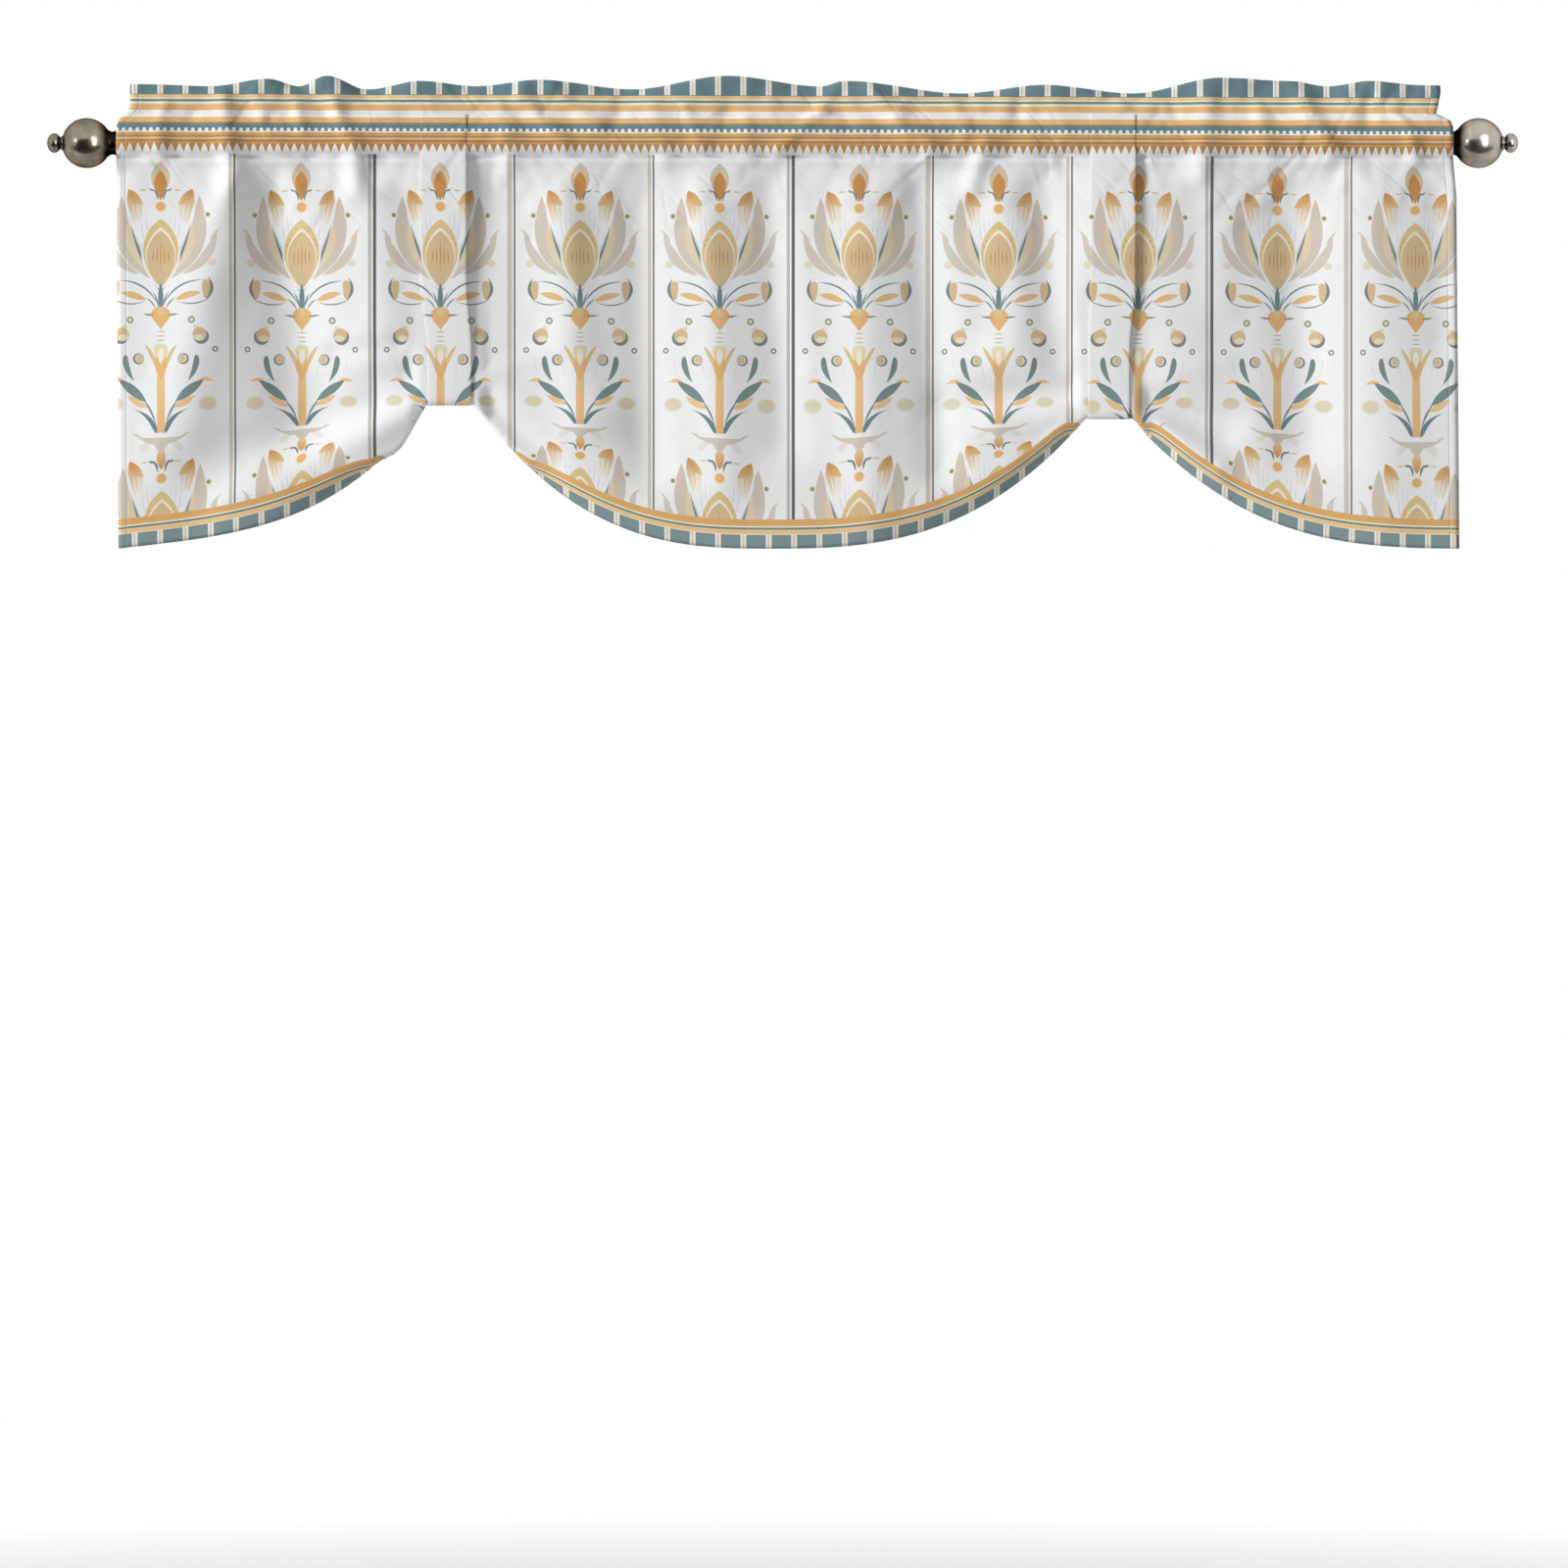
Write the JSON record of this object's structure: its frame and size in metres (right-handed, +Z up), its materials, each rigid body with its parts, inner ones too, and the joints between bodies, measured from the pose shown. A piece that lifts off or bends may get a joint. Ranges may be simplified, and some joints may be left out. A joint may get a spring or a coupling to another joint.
{
  "type": "tie-up valance on its curtain rod",
  "caption": "Printed tie-up window valance with a standing heading, gathered into swags by self-fabric ties, hanging by its rod pocket on a metal rod with ball finials.",
  "frame": {"origin": "on the rod's axis, at the middle of the window", "axes": "+X along the rod to the viewer's right, +Y back towards the wall, +Z up; the printed face looks towards -Y"},
  "size_m": [1.5032, 0.0603, 0.4815],
  "materials": {
    "printed_cloth": "soft white plain-weave cloth, printed with orange, gold, taupe and teal borders and flower columns",
    "rod_metal": "dark antique pewter, satin",
    "finial_metal": "antique pewter, turned and polished, darker in its grooves"
  },
  "bodies": {
    "root": {"valance": "printed_cloth", "tie_left": "printed_cloth", "tie_right": "printed_cloth", "rod": "rod_metal", "finial_left": "finial_metal", "finial_right": "finial_metal"}
  },
  "joints": []
}
